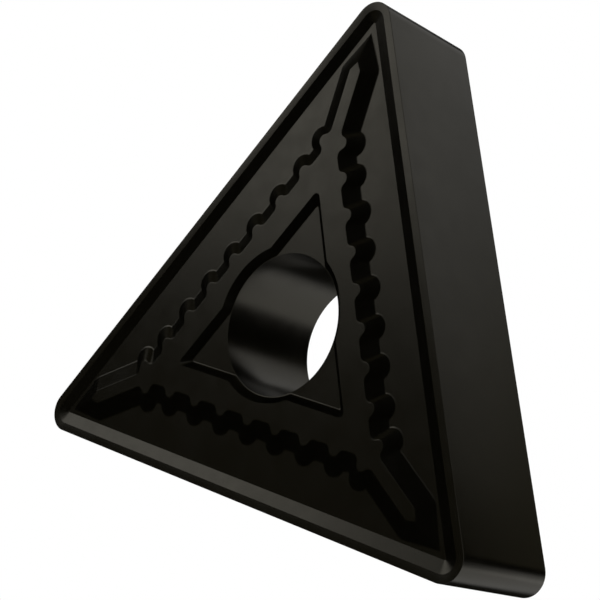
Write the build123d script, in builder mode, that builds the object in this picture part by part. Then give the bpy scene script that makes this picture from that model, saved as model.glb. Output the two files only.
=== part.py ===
"""Double-sided triangular turning insert, pressed and sintered from tungsten carbide.

Both faces are alike. From the cutting edge inwards each one has a narrow flat land, a rake slope, a sunk
chip groove and a raised seating island. The island's flank is a scalloped chip former with a finger that
points to each corner, and the island has a sunk pocket round the clamping bore.

The insert lies in the XY plane, with one corner on +Y and the bore on the Z axis. The origin is at half
the thickness, on the bore's axis.
"""

import os
from math import cos, radians, sin, sqrt

from build123d import *

# Standard size of the insert; its thickness runs from a cutting edge to the opposite seating face
inscribed_circle = 12.7
thickness = 4.76
nose_radius = 0.8
bore_diameter = 5.16
sides = 3

# Cutting edge, rake slope and chip groove
hone_radius = 0.05
land_width = 0.3
slope_run = 0.445
groove_depth = 0.12

# Seating island: its height over the cutting edge, and the lean of its flank
island_height = 0.12
flank_run = 0.63

# Scalloped wall along each side; insets are from the side to the wall's foot
wall_inset = 2.28
lobe_pitch = 1.41
lobe_foot_projection = 0.34
lobe_top_projection = 0.31
lobe_foot_radius = 0.45
lobe_top_radius = 0.25
root_foot_radius = 0.07
root_top_radius = 0.24

# Lobes at the roots of the fingers: how far each stands out, and its place past the wall's end
end_lobe_projection = 0.4
end_lobe_foot_lead = 0.135
end_lobe_top_lead = 0.2
end_lobe_gap = 1.05

# Fingers; setbacks are from the sharp corner of the insert's outline
finger_crown_width = 0.5
shoulder_foot_setback = 3.25
shoulder_top_setback = 3.4
tip_foot_setback = 1.9
tip_top_setback = 3.1
shoulder_foot_radius = 0.4
shoulder_top_radius = 0.08

# Sunk pocket round the bore: a small triangle joined to a circle, with sloped walls
pocket_depth = 0.23
pocket_inradius = 2.47
pocket_wall_run = 0.265
pocket_ledge = 0.025
pocket_top_corner_radius = 0.18
pocket_foot_corner_radius = 0.06
pocket_foot_fillet = 0.12

# Heights and radii that follow from these
inradius = inscribed_circle / 2
bore_radius = bore_diameter / 2
rim_height = (thickness - island_height) / 2
island_top = rim_height + island_height
groove_floor = rim_height - groove_depth
pocket_floor = island_top - pocket_depth

# Directions in the frame of one side, which lies along X with the insert's centre below it
along = Vector(1, 0)
outward = Vector(0, 1)
corner_angle = 360 / sides
bisector_angle = radians(90 - corner_angle / 2)
bisector = Vector(cos(bisector_angle), sin(bisector_angle))
across = Vector(-sin(bisector_angle), cos(bisector_angle))
corner_reach = inradius / sin(bisector_angle)


def flip(point):
    """The same point or direction on the other half of the side."""
    return Vector(-point.X, point.Y)


def rim_outline(inset):
    """The insert's outline, set in from every side, with corner radii to suit."""
    with BuildSketch() as outline:
        RegularPolygon(radius=inradius - inset, side_count=sides, major_radius=False, rotation=90)
        fillet(outline.vertices(), radius=nose_radius - inset)
    return outline.sketch


def pocket_outline(half_width, circle_radius, corner_radius):
    """The pocket's outline at one height: a triangle with rounded corners, joined to a circle."""
    with BuildSketch() as outline:
        RegularPolygon(radius=half_width, side_count=sides, major_radius=False, rotation=90)
        fillet(outline.vertices(), radius=corner_radius)
        Circle(circle_radius)
    return outline.sketch


def root_ends(centre, lobe_radius, root_radius, wall, hand):
    """Ends of the root arc on one hand of a lobe: the point on the wall, then the point on the lobe."""
    wall_point, direction, normal = wall
    height = (centre - wall_point).dot(normal)
    spacing = lobe_radius + root_radius
    reach = sqrt(spacing**2 - (root_radius - height) ** 2)
    wall_end = wall_point + direction * ((centre - wall_point).dot(direction) + hand * reach)
    root_centre = wall_end + normal * root_radius
    return wall_end, centre + (root_centre - centre) * (lobe_radius / spacing)


def island_outline(lean, projection, lobe_radius, root_radius, lead, shoulder_setback, tip_setback, bend):
    """The island's outline at one height, where its flank leans in by the given amount."""
    wall_height = inradius - wall_inset - lean
    half_width = finger_crown_width / 2 + flank_run - lean
    # A straight stretch of the outline is a point on it, its direction and its outward normal
    wall = (outward * wall_height, along, outward)
    finger = (across * half_width, bisector, across)
    far_finger = (flip(finger[0]), -flip(bisector), flip(across))
    # The lobes in order along the side, with the stretch before and after each one
    junction = (wall_height - half_width * across.Y) / bisector.Y
    end_lobe = bisector * (junction + lead) + across * (half_width + end_lobe_projection - lobe_radius)
    count = int((end_lobe.X - end_lobe_gap) / lobe_pitch)
    lobe_height = wall_height + projection - lobe_radius
    lobes = [Vector(lobe_pitch * place, lobe_height) for place in range(-count, count + 1)]
    lobes = [flip(end_lobe), *lobes, end_lobe]
    stretches = [far_finger, *[wall] * (len(lobes) - 1), finger]
    shoulder = finger[0] + bisector * (corner_reach - shoulder_setback)
    tip = bisector * (corner_reach - tip_setback)
    with BuildLine() as side:
        start = None
        for centre, before, after in zip(lobes, stretches, stretches[1:]):
            near_wall, near_lobe = root_ends(centre, lobe_radius, root_radius, before, -1)
            far_wall, far_lobe = root_ends(centre, lobe_radius, root_radius, after, 1)
            if start is None:
                FilletPolyline(flip(tip), flip(shoulder), near_wall, radius=bend)
            else:
                Line(start, near_wall)
            TangentArc(near_wall, near_lobe, tangent=before[1])
            crest = centre + (before[2] + after[2]).normalized() * lobe_radius
            ThreePointArc(near_lobe, crest, far_lobe)
            TangentArc(far_wall, far_lobe, tangent=-after[1])
            start = far_wall
        FilletPolyline(start, shoulder, tip, radius=bend)
    with BuildSketch() as outline:
        with BuildLine():
            for index in range(sides):
                add(side.line, rotation=corner_angle * (index + 0.5))
        make_face()
    return outline.sketch


island_foot = island_outline(
    0,
    lobe_foot_projection,
    lobe_foot_radius,
    root_foot_radius,
    end_lobe_foot_lead,
    shoulder_foot_setback,
    tip_foot_setback,
    shoulder_foot_radius,
)
island_crown = island_outline(
    flank_run,
    lobe_top_projection,
    lobe_top_radius,
    root_top_radius,
    end_lobe_top_lead,
    shoulder_top_setback,
    tip_top_setback,
    shoulder_top_radius,
)
pocket_circle = bore_radius + pocket_ledge
pocket_foot = pocket_outline(pocket_inradius - pocket_wall_run, pocket_circle, pocket_foot_corner_radius)
pocket_mouth = pocket_outline(pocket_inradius, pocket_circle + pocket_wall_run, pocket_top_corner_radius)

with BuildPart() as insert_body:
    # Upper half of the body, with its honed cutting edge
    with BuildSketch():
        add(rim_outline(0))
    extrude(amount=rim_height)
    fillet(insert_body.faces().sort_by(Axis.Z)[-1].edges(), radius=hone_radius)

    # Chip groove, whose sloped side is the rake slope
    rake_top = Plane.XY.offset(rim_height) * rim_outline(land_width)
    rake_foot = Plane.XY.offset(groove_floor) * rim_outline(land_width + slope_run)
    loft(sections=[rake_top, rake_foot], ruled=True, mode=Mode.SUBTRACT)

    # Seating island, ruled from its foot in the groove to its crown
    foot_section = Plane.XY.offset(groove_floor) * island_foot
    crown_section = Plane.XY.offset(island_top) * island_crown
    loft(sections=[foot_section, crown_section], ruled=True)

    # Pocket in the island, with a filleted foot, and the bore through it
    mouth_section = Plane.XY.offset(island_top) * pocket_mouth
    foot_section = Plane.XY.offset(pocket_floor) * pocket_foot
    loft(sections=[mouth_section, foot_section], ruled=True, mode=Mode.SUBTRACT)
    floor = insert_body.faces().filter_by_position(Axis.Z, pocket_floor, pocket_floor)[0]
    fillet(floor.edges(), radius=pocket_foot_fillet)
    Hole(radius=bore_radius)

    # Lower half, alike
    mirror(about=Plane.XY)

insert_body.part.label = "insert_body"
os.makedirs("parts", exist_ok=True)
export_step(insert_body.part, "parts/insert_body.step")
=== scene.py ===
"""Looks of a double-sided carbide turning insert: its coat, the studio round it and the camera."""

import logging
import math
from collections.abc import Sequence
from dataclasses import dataclass
from enum import Enum
from typing import Any

import bmesh
import bpy
from mathutils import Matrix, Vector


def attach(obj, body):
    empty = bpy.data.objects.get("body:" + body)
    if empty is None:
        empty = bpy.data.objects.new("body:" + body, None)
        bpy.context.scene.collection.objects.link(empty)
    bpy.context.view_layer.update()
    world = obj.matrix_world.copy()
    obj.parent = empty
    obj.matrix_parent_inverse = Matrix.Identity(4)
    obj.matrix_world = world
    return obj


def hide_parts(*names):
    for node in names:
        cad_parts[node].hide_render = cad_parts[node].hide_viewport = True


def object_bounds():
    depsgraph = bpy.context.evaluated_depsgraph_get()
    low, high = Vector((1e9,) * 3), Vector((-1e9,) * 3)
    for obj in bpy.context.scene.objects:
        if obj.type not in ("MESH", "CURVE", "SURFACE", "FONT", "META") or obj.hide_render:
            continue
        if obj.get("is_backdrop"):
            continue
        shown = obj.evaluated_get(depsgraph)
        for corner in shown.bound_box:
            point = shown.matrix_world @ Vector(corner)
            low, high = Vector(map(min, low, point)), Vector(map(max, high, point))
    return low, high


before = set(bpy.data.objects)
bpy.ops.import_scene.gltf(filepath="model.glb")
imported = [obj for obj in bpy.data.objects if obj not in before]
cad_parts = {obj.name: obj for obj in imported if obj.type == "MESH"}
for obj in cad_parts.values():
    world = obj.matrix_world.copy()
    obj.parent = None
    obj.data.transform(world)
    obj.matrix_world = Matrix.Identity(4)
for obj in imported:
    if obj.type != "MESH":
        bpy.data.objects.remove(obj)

MM = 0.001
UP = (0.0, 0.0, 1.0)
WHITE = "#ffffff"

Edges = list[bmesh.types.BMEdge]

log = logging.getLogger("insert")


def linear(hex_colour: str) -> tuple[float, float, float, float]:
    """Turn an sRGB hex colour to the linear colour that a shader takes.

    Args:
        hex_colour: Six hex digits after a hash, such as "#403f38".

    Returns:
        Linear red, green and blue, with an alpha of 1.
    """
    shares = [int(hex_colour[place:place + 2], 16) / 255 for place in (1, 3, 5)]
    red, green, blue = [s / 12.92 if s <= 0.04045 else ((s + 0.055) / 1.055) ** 2.4 for s in shares]
    return red, green, blue, 1.0


def add_node(tree: bpy.types.NodeTree, kind: str, inputs: dict[Any, Any], **settings: Any) -> bpy.types.Node:
    """Add a shader node with its settings, values and links.

    Args:
        tree: Node tree that the node goes into.
        kind: Blender's name of the node type.
        inputs: Socket name or index, and the value or the output socket that it takes.
        settings: Properties of the node itself.

    Returns:
        The new node.
    """
    node = tree.nodes.new(kind)
    for name, setting in settings.items():
        setattr(node, name, setting)
    for socket, source in inputs.items():
        if isinstance(source, bpy.types.NodeSocket):
            tree.links.new(source, node.inputs[socket])
        else:
            node.inputs[socket].default_value = source
    return node


@dataclass(frozen=True)
class AluminaCoatedCarbide:
    """Cemented carbide under an alumina coat that was grown from vapour and left as grown.

    The clear alumina over a dark layer gives a near-black body with a warm satin gloss, and its fine
    crystals break the gloss up a little.
    """

    body_hex: str = "#0b0a06"
    gloss_hex: str = "#fff8e3"
    alumina_ior: float = 1.77
    roughness: float = 0.22
    roughness_spread: float = 0.03
    crystal_mm: float = 0.06
    crystal_depth_mm: float = 0.0012
    crystal_detail: float = 2.0
    crystal_falloff: float = 0.6
    mottle_mm: float = 0.9
    mottle_detail: float = 3.0
    mottle_falloff: float = 0.5
    mottle_low: float = 0.3
    mottle_high: float = 0.7

    def material(self) -> bpy.types.Material:
        """Build the coat's material.

        Returns:
            The finished material.
        """
        material = bpy.data.materials.new("alumina_coated_sintered_carbide")
        material.use_nodes = True
        tree = material.node_tree
        tree.nodes.clear()
        place = add_node(tree, "ShaderNodeTexCoord", {}).outputs["Object"]
        # Crystals are about 0.002 mm across, and drawn coarser so that they show
        crystals = add_node(
            tree,
            "ShaderNodeTexNoise",
            {
                "Vector": place,
                "Scale": 1 / (self.crystal_mm * MM),
                "Detail": self.crystal_detail,
                "Roughness": self.crystal_falloff,
            },
        )
        mottle = add_node(
            tree,
            "ShaderNodeTexNoise",
            {
                "Vector": place,
                "Scale": 1 / (self.mottle_mm * MM),
                "Detail": self.mottle_detail,
                "Roughness": self.mottle_falloff,
            },
        )
        gloss = add_node(
            tree,
            "ShaderNodeMapRange",
            {
                "Value": mottle.outputs["Fac"],
                "From Min": self.mottle_low,
                "From Max": self.mottle_high,
                "To Min": self.roughness - self.roughness_spread,
                "To Max": self.roughness + self.roughness_spread,
            },
        )
        relief = add_node(
            tree,
            "ShaderNodeBump",
            {"Strength": 1.0, "Distance": self.crystal_depth_mm * MM, "Height": crystals.outputs["Fac"]},
        )
        shader = add_node(
            tree,
            "ShaderNodeBsdfPrincipled",
            {
                "Base Color": linear(self.body_hex),
                "Roughness": gloss.outputs["Result"],
                "IOR": self.alumina_ior,
                "Specular Tint": linear(self.gloss_hex),
                "Normal": relief.outputs["Normal"],
            },
        )
        add_node(tree, "ShaderNodeOutputMaterial", {"Surface": shader.outputs["BSDF"]})
        return material


def arc_points(centre: Vector, start: Vector, end: Vector, steps: int) -> list[Vector]:
    """Divide the shorter arc between two points.

    Args:
        centre: Centre of the arc.
        start: Its first point.
        end: Its last point.
        steps: How many chords it gets.

    Returns:
        The points after the first one, up to the last.
    """
    first, last = start - centre, end - centre
    sweep = math.atan2(first.x * last.y - first.y * last.x, first.dot(last))
    return [centre + Matrix.Rotation(sweep * step / steps, 2) @ first for step in range(1, steps + 1)]


def rounded_corner(before: Vector, corner: Vector, after: Vector, radius: float, steps: int) -> list[Vector]:
    """Round the corner between two straight stretches.

    Args:
        before: A point on the stretch that comes in.
        corner: Where the two stretches meet.
        after: A point on the stretch that goes out.
        radius: Radius of the rounding.
        steps: How many chords it gets.

    Returns:
        Points of the rounding, with both of its ends.
    """
    back, onward = (before - corner).normalized(), (after - corner).normalized()
    half_angle = back.angle(onward) / 2
    start, end = (corner + side * (radius / math.tan(half_angle)) for side in (back, onward))
    centre = corner + (back + onward).normalized() * (radius / math.sin(half_angle))
    return [start, *arc_points(centre, start, end, steps)]


def flipped(point: Vector) -> Vector:
    """The same point or direction on the other half of a side."""
    return Vector((-point.x, point.y))


@dataclass(frozen=True)
class Stretch:
    """A straight stretch of an outline: a point on it, its direction and its outward normal."""

    point: Vector
    direction: Vector
    normal: Vector


@dataclass(frozen=True)
class Blank:
    """The outline that every part of the insert is set out from, in millimetres.

    One side is worked out in a frame of its own, along X with the insert's centre below it, and repeated.
    """

    inscribed_circle: float = 12.7
    nose_radius: float = 0.8
    sides: int = 3

    @property
    def inradius(self) -> float:
        """Distance from the middle to a side."""
        return self.inscribed_circle / 2

    @property
    def half_corner(self) -> float:
        """Half the angle between two sides, in radians."""
        return math.pi / 2 - math.pi / self.sides

    @property
    def bisector(self) -> Vector:
        """Direction to the corner at the end of a side."""
        return Vector((math.cos(self.half_corner), math.sin(self.half_corner)))

    @property
    def across(self) -> Vector:
        """Direction square to the bisector, towards the side."""
        return Vector((-math.sin(self.half_corner), math.cos(self.half_corner)))

    @property
    def corner_reach(self) -> float:
        """Distance from the middle to a sharp corner."""
        return self.inradius / math.sin(self.half_corner)

    def all_round(self, side: list[Vector]) -> list[Vector]:
        """Repeat one side's points round the insert.

        Args:
            side: Points of one side, in its own frame and clockwise.

        Returns:
            Points of the whole outline, in the insert's frame.
        """
        turns = [math.pi / self.sides - 2 * math.pi * index / self.sides for index in range(self.sides)]
        return [Matrix.Rotation(turn, 2) @ point for turn in turns for point in side]

    def corner(self, height: float, radius: float, steps: int) -> list[Vector]:
        """Draw the corner at the end of a side.

        Args:
            height: Distance from the middle to the side.
            radius: Radius of the corner.
            steps: How many chords it gets.

        Returns:
            Points from the end of the side to the start of the next one.
        """
        centre = self.bisector * (height - radius) / math.sin(self.half_corner)
        start = centre + Vector((0.0, radius))
        end = centre + Matrix.Rotation(-2 * math.pi / self.sides, 2) @ Vector((0.0, radius))
        return [start, *arc_points(centre, start, end, steps)]


@dataclass(frozen=True)
class CuttingRim:
    """The cutting edge with its land and its rake slope, in millimetres.

    The land dips inwards, by less along a side than round a nose.
    """

    blank: Blank
    land_width: float = 0.3
    land_corner: float = 0.5
    side_dip: float = 0.013
    nose_dip: float = 0.027
    slope_run: float = 0.445
    slope_corner: float = 0.055
    # Where each half of a side gets one more point, so that its land keeps one dip along most of it
    straight_half: float = 7.0
    steps: int = 16

    def outline(self, inset: float, radius: float) -> list[Vector]:
        """Set the blank's outline in from every side.

        Args:
            inset: How far it is set in.
            radius: Radius of its corners.

        Returns:
            Points of the outline.
        """
        height = self.blank.inradius - inset
        straight = [Vector((end * self.straight_half, height)) for end in (-1, 1)]
        return self.blank.all_round([*straight, *self.blank.corner(height, radius, self.steps)])

    def dips(self) -> list[float]:
        """How far the land's inner line lies below the cutting edge, at each point of its outline."""
        return [*[self.side_dip] * 2, *[self.nose_dip] * (self.steps + 1)] * self.blank.sides


@dataclass(frozen=True)
class IslandLevel:
    """The island's outline at one height, in millimetres; setbacks are from the blank's sharp corner."""

    lean: float
    projection: float
    lobe_radius: float
    root_radius: float
    end_lobe_lead: float
    shoulder_setback: float
    tip_setback: float
    bend: float


@dataclass(frozen=True)
class SeatingIsland:
    """The raised island with its scalloped chip former and its fingers, in millimetres."""

    blank: Blank
    foot: IslandLevel = IslandLevel(
        lean=0.0,
        projection=0.34,
        lobe_radius=0.45,
        root_radius=0.07,
        end_lobe_lead=0.135,
        shoulder_setback=3.25,
        tip_setback=1.9,
        bend=0.4,
    )
    crown: IslandLevel = IslandLevel(
        lean=0.63,
        projection=0.31,
        lobe_radius=0.25,
        root_radius=0.24,
        end_lobe_lead=0.2,
        shoulder_setback=3.4,
        tip_setback=3.1,
        bend=0.08,
    )
    wall_inset: float = 2.28
    lobe_pitch: float = 1.41
    end_lobe_projection: float = 0.4
    end_lobe_gap: float = 1.05
    finger_crown_width: float = 0.5
    root_steps: int = 6
    lobe_steps: int = 12

    def outline(self, level: IslandLevel) -> list[Vector]:
        """Draw the island at one height.

        Args:
            level: The sizes at that height.

        Returns:
            Points of the outline.
        """
        blank = self.blank
        wall_height = blank.inradius - self.wall_inset - level.lean
        half_width = self.finger_crown_width / 2 + self.crown.lean - level.lean
        wall = Stretch(Vector((0.0, wall_height)), Vector((1.0, 0.0)), Vector((0.0, 1.0)))
        finger = Stretch(blank.across * half_width, blank.bisector, blank.across)
        far_finger = Stretch(flipped(finger.point), -flipped(blank.bisector), flipped(blank.across))
        junction = (wall_height - half_width * blank.across.y) / blank.bisector.y
        stand_out = half_width + self.end_lobe_projection - level.lobe_radius
        end_lobe = blank.bisector * (junction + level.end_lobe_lead) + blank.across * stand_out
        count = int((end_lobe.x - self.end_lobe_gap) / self.lobe_pitch)
        lobe_height = wall_height + level.projection - level.lobe_radius
        lobes = [Vector((self.lobe_pitch * place, lobe_height)) for place in range(-count, count + 1)]
        lobes = [flipped(end_lobe), *lobes, end_lobe]
        stretches = [far_finger, *[wall] * (len(lobes) - 1), finger]
        side: list[Vector] = []
        for centre, before, after in zip(lobes, stretches, stretches[1:]):
            side += self.lobe(centre, before, after, level)
        shoulder = finger.point + blank.bisector * (blank.corner_reach - level.shoulder_setback)
        tip = blank.bisector * (blank.corner_reach - level.tip_setback)
        near = rounded_corner(flipped(tip), flipped(shoulder), side[0], level.bend, self.root_steps)
        far = rounded_corner(side[-1], shoulder, tip, level.bend, self.root_steps)
        return blank.all_round([flipped(tip), *near, *side, *far])

    def lobe(self, centre: Vector, before: Stretch, after: Stretch, level: IslandLevel) -> list[Vector]:
        """Draw a lobe with the root on each side of it.

        Args:
            centre: Centre of the lobe.
            before: The straight stretch that comes in.
            after: The straight stretch that goes out.
            level: The sizes at this height.

        Returns:
            Points from the end of one stretch to the start of the other.
        """
        spacing = level.lobe_radius + level.root_radius
        ends = []
        for stretch, hand in ((before, -1), (after, 1)):
            offset = centre - stretch.point
            reach = math.sqrt(spacing**2 - (level.root_radius - offset.dot(stretch.normal)) ** 2)
            on_wall = stretch.point + stretch.direction * (offset.dot(stretch.direction) + hand * reach)
            root = on_wall + stretch.normal * level.root_radius
            ends.append((on_wall, root, centre + (root - centre) * (level.lobe_radius / spacing)))
        (near_wall, near_root, near_lobe), (far_wall, far_root, far_lobe) = ends
        return [
            near_wall,
            *arc_points(near_root, near_wall, near_lobe, self.root_steps),
            *arc_points(centre, near_lobe, far_lobe, self.lobe_steps),
            *arc_points(far_root, far_lobe, far_wall, self.root_steps),
        ]


@dataclass(frozen=True)
class BorePocket:
    """The sunk pocket round the clamping bore, a small triangle joined to a circle, in millimetres."""

    blank: Blank
    bore_radius: float = 2.58
    inradius: float = 2.47
    wall_run: float = 0.242
    depth: float = 0.23
    ledge: float = 0.048
    mouth_corner: float = 0.18
    foot_corner: float = 0.08
    foot_rounding: float = 0.06
    floor_rounding: float = 0.04
    rounding_steps: int = 8
    steps: int = 14
    bore_steps: int = 96

    def outline(self, lean: float) -> list[Vector]:
        """Draw the pocket where its wall stands in from the mouth by the given amount.

        Args:
            lean: How far the wall stands in.

        Returns:
            Points of the outline.
        """
        half_width = self.inradius - lean
        circle = self.bore_radius + self.ledge + self.wall_run - lean
        corner = self.mouth_corner + (self.foot_corner - self.mouth_corner) * lean / self.wall_run
        swell = Vector((math.sqrt(circle**2 - half_width**2), half_width))
        bulge = [flipped(swell), *arc_points(Vector((0.0, 0.0)), flipped(swell), swell, self.steps)]
        return self.blank.all_round([*bulge, *self.blank.corner(half_width, corner, self.steps)])

    def profile(self) -> list[Vector]:
        """Draw the wall's section, with its rounded foot.

        Returns:
            Pairs of lean and depth, from the mouth to the floor.
        """
        foot = Vector((self.wall_run, self.depth))
        above = foot * (1 - self.foot_rounding / foot.length)
        beyond = foot + Vector((self.floor_rounding, 0.0))
        shares = [step / self.rounding_steps for step in range(self.rounding_steps + 1)]
        curve = [above * (1 - t) ** 2 + foot * (2 * t * (1 - t)) + beyond * t**2 for t in shares]
        return [Vector((0.0, 0.0)), *curve]

    def bore(self) -> list[Vector]:
        """Points round the bore."""
        turns = [-2 * math.pi * step / self.bore_steps for step in range(self.bore_steps)]
        return [Matrix.Rotation(turn, 2) @ Vector((0.0, self.bore_radius)) for turn in turns]


@dataclass(frozen=True)
class Rounding:
    """How an edge is rounded: how far it reaches to each side, in millimetres, and its strips."""

    reach: float
    segments: int


@dataclass(frozen=True)
class InsertBody:
    """The insert, one pressed and sintered piece, with small roundings that its solid leaves out.

    Sizes are in millimetres, and the crease angle is in degrees.
    """

    coat: AluminaCoatedCarbide = AluminaCoatedCarbide()
    blank: Blank = Blank()
    thickness: float = 4.76
    island_height: float = 0.12
    groove_depth: float = 0.13
    hone: Rounding = Rounding(reach=0.015, segments=12)
    flank_foot: Rounding = Rounding(reach=0.04, segments=4)
    crown_edge: Rounding = Rounding(reach=0.012, segments=3)
    flange: float = 0.046
    crease_angle: float = 24.0
    merge_distance: float = 1e-5

    def ring(
        self, form: bmesh.types.BMesh, outline: list[Vector], height: float, dips: Sequence[float] = ()
    ) -> Edges:
        """Lay one closed outline.

        Args:
            form: The mesh being made.
            outline: Points of the outline, in millimetres.
            height: Where it lies.
            dips: How far each of its points lies below that, if it isn't level.

        Returns:
            Edges of the outline.
        """
        levels = [height - dip for dip in dips or [0.0] * len(outline)]
        verts = [form.verts.new((point.x, point.y, level)) for point, level in zip(outline, levels)]
        return [form.edges.new((verts[place - 1], verts[place])) for place in range(len(verts))]

    def wall(self, form: bmesh.types.BMesh, lower: Edges, upper: Edges) -> None:
        """Join two outlines that have the same number of points.

        Args:
            form: The mesh being made.
            lower: Edges of one outline.
            upper: Edges of the other outline.
        """
        for first, second in zip(lower, upper):
            form.faces.new((first.verts[0], first.verts[1], second.verts[1], second.verts[0]))

    def flat(self, form: bmesh.types.BMesh, outer: Edges, inner: Edges, flange: float) -> None:
        """Fill the flat face between two outlines.

        Args:
            form: The mesh being made.
            outer: Edges of the outline round it.
            inner: Edges of the outline in it.
            flange: Width of the strip along both of them that a rounding may take, or 0 for none.
        """
        filled = bmesh.ops.triangle_fill(form, use_beauty=True, edges=outer + inner, normal=UP)
        if not flange:
            return
        faces = [face for face in filled["geom"] if isinstance(face, bmesh.types.BMFace)]
        bmesh.ops.inset_region(form, faces=faces, thickness=flange, use_boundary=True, use_even_offset=True)
        edges = {edge for face in faces for edge in face.edges}
        border = [edge for edge in edges if not set(edge.link_faces).issubset(faces)]
        bmesh.ops.delete(form, geom=faces, context="FACES_KEEP_BOUNDARY")
        bmesh.ops.triangle_fill(form, use_beauty=True, edges=border, normal=UP)

    def rounded(self, form: bmesh.types.BMesh, edges: Edges, rounding: Rounding) -> None:
        """Round edges over.

        Args:
            form: The mesh that they are in.
            edges: The edges.
            rounding: How they are rounded.
        """
        bmesh.ops.bevel(
            form,
            geom=edges,
            offset=rounding.reach,
            offset_type="OFFSET",
            affect="EDGES",
            segments=rounding.segments,
            profile=0.5,
            material=-1,
            clamp_overlap=False,
        )

    def upper_half(self, form: bmesh.types.BMesh) -> None:
        """Model the insert above its mid-plane.

        Args:
            form: The mesh to make it in.
        """
        edge_height = (self.thickness - self.island_height) / 2
        island_top = edge_height + self.island_height
        groove_floor = edge_height - self.groove_depth
        rim, island, pocket = CuttingRim(self.blank), SeatingIsland(self.blank), BorePocket(self.blank)
        flank = rim.outline(0.0, self.blank.nose_radius)
        land = rim.outline(rim.land_width, rim.land_corner)
        slope = rim.outline(rim.land_width + rim.slope_run, rim.slope_corner)
        waist = self.ring(form, flank, 0.0)
        edge = self.ring(form, flank, edge_height)
        land_end = self.ring(form, land, edge_height, rim.dips())
        slope_foot = self.ring(form, slope, groove_floor)
        island_foot = self.ring(form, island.outline(island.foot), groove_floor)
        island_crown = self.ring(form, island.outline(island.crown), island_top)
        pocket_wall = [
            self.ring(form, pocket.outline(lean), island_top - depth) for lean, depth in pocket.profile()
        ]
        bore_mouth = self.ring(form, pocket.bore(), island_top - pocket.depth)
        bore_waist = self.ring(form, pocket.bore(), 0.0)
        walls = [(waist, edge), (edge, land_end), (land_end, slope_foot), (island_foot, island_crown)]
        for lower, upper in [*walls, *zip(pocket_wall, pocket_wall[1:]), (bore_waist, bore_mouth)]:
            self.wall(form, lower, upper)
        self.flat(form, slope_foot, island_foot, self.flange)
        self.flat(form, island_crown, pocket_wall[0], self.flange)
        self.flat(form, pocket_wall[-1], bore_mouth, 0.0)
        for crisp in (*land_end, *slope_foot, *pocket_wall[0], *pocket_wall[-1], *bore_mouth):
            crisp.smooth = False
        bmesh.ops.recalc_face_normals(form, faces=form.faces)
        self.rounded(form, edge, self.hone)
        self.rounded(form, island_foot, self.flank_foot)
        self.rounded(form, island_crown, self.crown_edge)

    def build(self) -> bpy.types.Object:
        """Model, shade and dress the body.

        Returns:
            The finished body, in place of its solid.
        """
        form = bmesh.new()
        self.upper_half(form)
        half = form.verts[:] + form.edges[:] + form.faces[:]
        merge = self.merge_distance
        bmesh.ops.mirror(form, geom=half, matrix=Matrix.Identity(4), merge_dist=merge, axis="Z")
        bmesh.ops.remove_doubles(form, verts=form.verts, dist=merge)
        bmesh.ops.recalc_face_normals(form, faces=form.faces)
        bmesh.ops.scale(form, vec=(MM, MM, MM), verts=form.verts)
        for face in form.faces:
            face.smooth = True
        for edge in form.edges:
            edge.smooth = edge.smooth and edge.calc_face_angle(math.pi) < math.radians(self.crease_angle)
        mesh = bpy.data.meshes.new("sintered_insert")
        form.to_mesh(mesh)
        form.free()
        mesh.materials.append(self.coat.material())
        piece = bpy.data.objects.new("sintered_insert", mesh)
        bpy.context.scene.collection.objects.link(piece)
        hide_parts("insert_body")
        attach(piece, "root")
        return piece


@dataclass(frozen=True)
class CameraStand:
    """The camera, placed by its turn round the insert, its height angle and its roll, in degrees.

    The values come from a fit of the view and are kept to three or four decimals.
    """

    aim_mm: tuple[float, float, float] = (-1.593, 1.102, 0.0)
    distance_mm: float = 58.609
    azimuth: float = -3.1048
    elevation: float = 46.3583
    roll: float = -70.6393
    lens_mm: float = 95.495
    sensor_mm: float = 36.0
    clip_start_mm: float = 1.0
    clip_end_mm: float = 10000.0

    def axes(self) -> tuple[Vector, Vector, Vector]:
        """Work out the camera's directions.

        Returns:
            Unit vectors to its right, to its top and back from what it sees.
        """
        turn, height, roll = (math.radians(angle) for angle in (self.azimuth, self.elevation, self.roll))
        reach = math.cos(height)
        back = Vector((reach * math.cos(turn), reach * math.sin(turn), math.sin(height)))
        level = Vector((-math.sin(turn), math.cos(turn), 0.0))
        upright = back.cross(level)
        right = level * math.cos(roll) + upright * math.sin(roll)
        return right, back.cross(right), back

    def set_up(self) -> bpy.types.Object:
        """Add the camera and make it the scene's own.

        Returns:
            The camera.
        """
        right, top, back = self.axes()
        lens = bpy.data.cameras.new("studio_camera")
        lens.lens = self.lens_mm
        lens.sensor_width = self.sensor_mm
        lens.clip_start = self.clip_start_mm * MM
        lens.clip_end = self.clip_end_mm * MM
        camera = bpy.data.objects.new("studio_camera", lens)
        bpy.context.scene.collection.objects.link(camera)
        turned = Matrix((right, top, back)).transposed().to_4x4()
        place = (Vector(self.aim_mm) + back * self.distance_mm) * MM
        camera.matrix_world = Matrix.Translation(place) @ turned
        bpy.context.scene.camera = camera
        return camera


class PanelTone(Enum):
    """Colour of the light that comes from a panel."""

    LAMP = WHITE
    BOUNCE = "#fff5ce"


@dataclass(frozen=True)
class SoftPanel:
    """A far light panel with soft edges.

    Angles are in degrees, as seen from the insert and in the camera's upright frame. The bearing goes to the
    right from the way the camera looks, and the height goes up. The softness is that of the side edges, then
    that of the lower and upper ones.
    """

    name: str
    bearing: float
    height: float
    half_width: float
    half_height: float
    softness: tuple[float, float]
    radiance: float
    tilt: float = 0.0
    tone: PanelTone = PanelTone.LAMP


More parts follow.
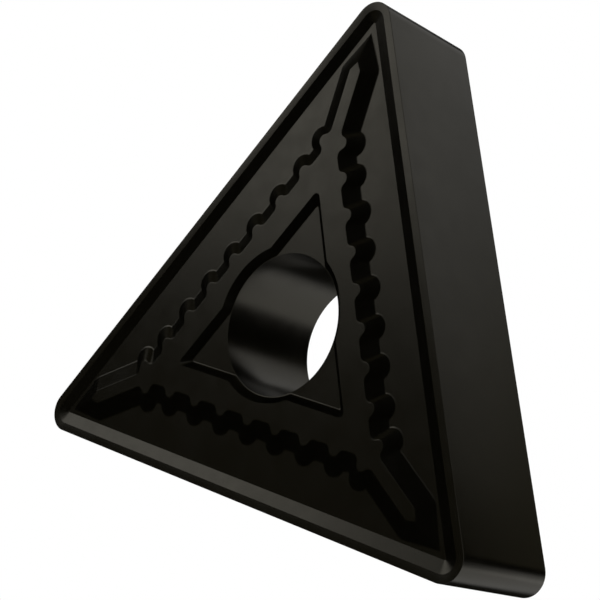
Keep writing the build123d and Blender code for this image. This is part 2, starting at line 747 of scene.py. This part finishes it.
@dataclass(frozen=True)
class Studio:
    """Soft panels round the insert, and the white ground that it lies on."""

    camera: CameraStand
    panels: tuple[SoftPanel, ...]
    room_radiance: float = 0.007
    room_tone: PanelTone = PanelTone.BOUNCE
    floor_mm: float = 400.0

    def panel_axes(self, panel: SoftPanel) -> tuple[Vector, Vector, Vector]:
        """Work out a panel's directions from the camera's.

        Args:
            panel: The panel.

        Returns:
            Unit vectors along the panel's width, along its height and out to it from the insert.
        """
        right, top, back = self.camera.axes()
        bearing, height, tilt = (math.radians(angle) for angle in (panel.bearing, panel.height, panel.tilt))
        ahead = right * math.sin(bearing) - back * math.cos(bearing)
        level = right * math.cos(bearing) + back * math.sin(bearing)
        out = ahead * math.cos(height) + top * math.sin(height)
        upright = top * math.cos(height) - ahead * math.sin(height)
        across = level * math.cos(tilt) + upright * math.sin(tilt)
        return across, upright * math.cos(tilt) - level * math.sin(tilt), out

    def light_of(
        self, tree: bpy.types.NodeTree, direction: bpy.types.NodeSocket, panel: SoftPanel
    ) -> bpy.types.NodeSocket:
        """Add the nodes of one panel.

        Args:
            tree: The world's node tree.
            direction: Direction in which a ray leaves.
            panel: The panel.

        Returns:
            The output socket that holds the panel's light in that direction.
        """
        across, upright, out = self.panel_axes(panel)
        depth = add_node(
            tree, "ShaderNodeVectorMath", {0: direction, 1: out}, operation="DOT_PRODUCT"
        ).outputs["Value"]
        masks = []
        half_angles = (panel.half_width, panel.half_height)
        for axis, half_angle, softness in zip((across, upright), half_angles, panel.softness):
            offset = add_node(tree, "ShaderNodeVectorMath", {0: direction, 1: axis}, operation="DOT_PRODUCT")
            aside = offset.outputs["Value"]
            angle = add_node(tree, "ShaderNodeMath", {0: aside, 1: depth}, operation="ARCTAN2")
            size = add_node(tree, "ShaderNodeMath", {0: angle.outputs[0]}, operation="ABSOLUTE")
            mask = add_node(
                tree,
                "ShaderNodeMapRange",
                {
                    "Value": size.outputs[0],
                    "From Min": math.radians(half_angle - softness),
                    "From Max": math.radians(half_angle + softness),
                    "To Min": 1.0,
                    "To Max": 0.0,
                },
                interpolation_type="SMOOTHSTEP",
            )
            masks.append(mask.outputs["Result"])
        share = add_node(tree, "ShaderNodeMath", {0: masks[0], 1: masks[1]}, operation="MULTIPLY")
        light = self.tinted(tree, panel.tone, panel.radiance)
        shaped = add_node(
            tree, "ShaderNodeVectorMath", {0: light.outputs[0], "Scale": share.outputs[0]}, operation="SCALE"
        )
        shaped.label = panel.name
        return shaped.outputs[0]

    def tinted(self, tree: bpy.types.NodeTree, tone: PanelTone, radiance: float) -> bpy.types.Node:
        """Add light of one colour and radiance.

        Args:
            tree: The world's node tree.
            tone: Its colour.
            radiance: How strong it is.

        Returns:
            The node that holds it.
        """
        return add_node(
            tree, "ShaderNodeVectorMath", {0: linear(tone.value)[:3], "Scale": radiance}, operation="SCALE"
        )

    def hang_panels(self) -> None:
        """Make the world the soft panels, with a plain white ground behind what the camera sees."""
        world = bpy.data.worlds.new("soft_studio")
        bpy.context.scene.world = world
        world.use_nodes = True
        world.cycles.sampling_method = "NONE"
        tree = world.node_tree
        tree.nodes.clear()
        direction = add_node(tree, "ShaderNodeTexCoord", {}).outputs["Generated"]
        total = self.tinted(tree, self.room_tone, self.room_radiance).outputs[0]
        for panel in self.panels:
            light = self.light_of(tree, direction, panel)
            total = add_node(tree, "ShaderNodeVectorMath", {0: total, 1: light}, operation="ADD").outputs[0]
        panels = add_node(tree, "ShaderNodeBackground", {"Color": total, "Strength": 1.0})
        white = add_node(tree, "ShaderNodeBackground", {"Color": linear(WHITE), "Strength": 1.0})
        seen = add_node(tree, "ShaderNodeLightPath", {}).outputs["Is Camera Ray"]
        ground = add_node(
            tree,
            "ShaderNodeMixShader",
            {0: seen, 1: panels.outputs["Background"], 2: white.outputs["Background"]},
        )
        add_node(tree, "ShaderNodeOutputWorld", {"Surface": ground.outputs["Shader"]})

    def lay_floor(self, level: float) -> bpy.types.Object:
        """Lay the white ground under the insert; it can be looked through from below.

        Args:
            level: Height of the ground in metres.

        Returns:
            The ground, marked as stage.
        """
        material = bpy.data.materials.new("white_lit_acrylic_sheet")
        material.use_nodes = True
        tree = material.node_tree
        tree.nodes.clear()
        glow = add_node(tree, "ShaderNodeEmission", {"Color": linear(WHITE), "Strength": 1.0})
        clear = add_node(tree, "ShaderNodeBsdfTransparent", {})
        from_below = add_node(tree, "ShaderNodeNewGeometry", {}).outputs["Backfacing"]
        sheet = add_node(
            tree,
            "ShaderNodeMixShader",
            {0: from_below, 1: glow.outputs["Emission"], 2: clear.outputs["BSDF"]},
        )
        add_node(tree, "ShaderNodeOutputMaterial", {"Surface": sheet.outputs["Shader"]})
        half = self.floor_mm * MM / 2
        mesh = bpy.data.meshes.new("white_ground")
        corners = [(-half, -half, level), (half, -half, level), (half, half, level), (-half, half, level)]
        mesh.from_pydata(corners, [], [(0, 1, 2, 3)])
        mesh.materials.append(material)
        ground = bpy.data.objects.new("white_ground", mesh)
        bpy.context.scene.collection.objects.link(ground)
        ground.visible_glossy = False
        ground.visible_diffuse = False
        ground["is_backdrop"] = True
        return ground


# Nine panels, key to rear_box without rim_card, began as a least-squares fit: most of their values are its
# own, rounded. The other panels were placed one by one, and the fills light what the main view hardly
# mirrors.
PANELS = (
    SoftPanel(
        "key",
        bearing=-83,
        height=30,
        half_width=10.5,
        half_height=8.8,
        softness=(2, 2),
        radiance=0.63,
        tilt=-7,
    ),
    SoftPanel(
        "key_wing",
        bearing=-98,
        height=29,
        half_width=12,
        half_height=9,
        softness=(2.3, 2.3),
        radiance=0.14,
        tilt=-4,
    ),
    SoftPanel(
        "rim_strip",
        bearing=53,
        height=37,
        half_width=18,
        half_height=19,
        softness=(2.5, 10),
        radiance=0.36,
    ),
    SoftPanel(
        "rim_card",
        bearing=61.5,
        height=9,
        half_width=10,
        half_height=8,
        softness=(2.5, 4),
        radiance=0.05,
        tone=PanelTone.BOUNCE,
    ),
    SoftPanel(
        "table_glow",
        bearing=74,
        height=-46,
        half_width=27,
        half_height=21.5,
        softness=(6.5, 6.5),
        radiance=0.45,
        tilt=-11,
    ),
    SoftPanel(
        "table_edge",
        bearing=68,
        height=-21,
        half_width=11.4,
        half_height=8,
        softness=(5.6, 5.6),
        radiance=0.38,
        tilt=5,
    ),
    SoftPanel(
        "back_strip",
        bearing=127,
        height=50,
        half_width=49,
        half_height=3.1,
        softness=(3.7, 3.7),
        radiance=0.31,
        tilt=17,
    ),
    SoftPanel(
        "low_card",
        bearing=-97,
        height=9,
        half_width=12.6,
        half_height=10.3,
        softness=(3.7, 3.7),
        radiance=0.033,
        tilt=5,
        tone=PanelTone.BOUNCE,
    ),
    SoftPanel(
        "high_card",
        bearing=-102,
        height=63,
        half_width=44,
        half_height=8.3,
        softness=(3.8, 3.8),
        radiance=0.038,
        tilt=-29,
        tone=PanelTone.BOUNCE,
    ),
    SoftPanel(
        "rear_box",
        bearing=-172,
        height=52,
        half_width=14.4,
        half_height=8.1,
        softness=(13, 13),
        radiance=0.57,
        tilt=5,
    ),
    SoftPanel(
        "front_fill",
        bearing=-4,
        height=25,
        half_width=18,
        half_height=22,
        softness=(4, 4),
        radiance=0.45,
    ),
    SoftPanel(
        "rear_fill",
        bearing=137,
        height=10,
        half_width=32,
        half_height=26,
        softness=(5, 6),
        radiance=0.45,
    ),
    SoftPanel(
        "low_fill",
        bearing=134,
        height=-50,
        half_width=22,
        half_height=17,
        softness=(6, 6),
        radiance=0.45,
    ),
    SoftPanel(
        "upper_fill",
        bearing=60,
        height=68,
        half_width=22,
        half_height=8,
        softness=(5, 5),
        radiance=0.45,
    ),
    SoftPanel(
        "side_fill",
        bearing=-174,
        height=28,
        half_width=5,
        half_height=16,
        softness=(3, 3),
        radiance=0.4,
    ),
    SoftPanel(
        "floor_fill",
        bearing=-66,
        height=-38,
        half_width=13,
        half_height=9,
        softness=(5, 5),
        radiance=0.45,
    ),
    SoftPanel(
        "under_fill",
        bearing=-60,
        height=-78,
        half_width=25,
        half_height=16,
        softness=(7, 7),
        radiance=0.45,
    ),
)


def main() -> None:
    """Build the scene piece by piece and report each one."""
    logging.basicConfig(level=logging.INFO, format="%(name)s: %(message)s")
    cad_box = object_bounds()
    scene = bpy.context.scene
    scene.view_settings.view_transform = "Standard"
    scene.view_settings.look = "None"
    camera = CameraStand()
    log.info("camera %s", camera.set_up().name)
    body = InsertBody().build()
    log.info("body %s: %d faces", body.name, len(body.data.polygons))
    studio = Studio(camera=camera, panels=PANELS)
    studio.hang_panels()
    ground = studio.lay_floor(level=cad_box[0].z)
    log.info("ground %s", ground.name)


if __name__ == "__main__":
    main()
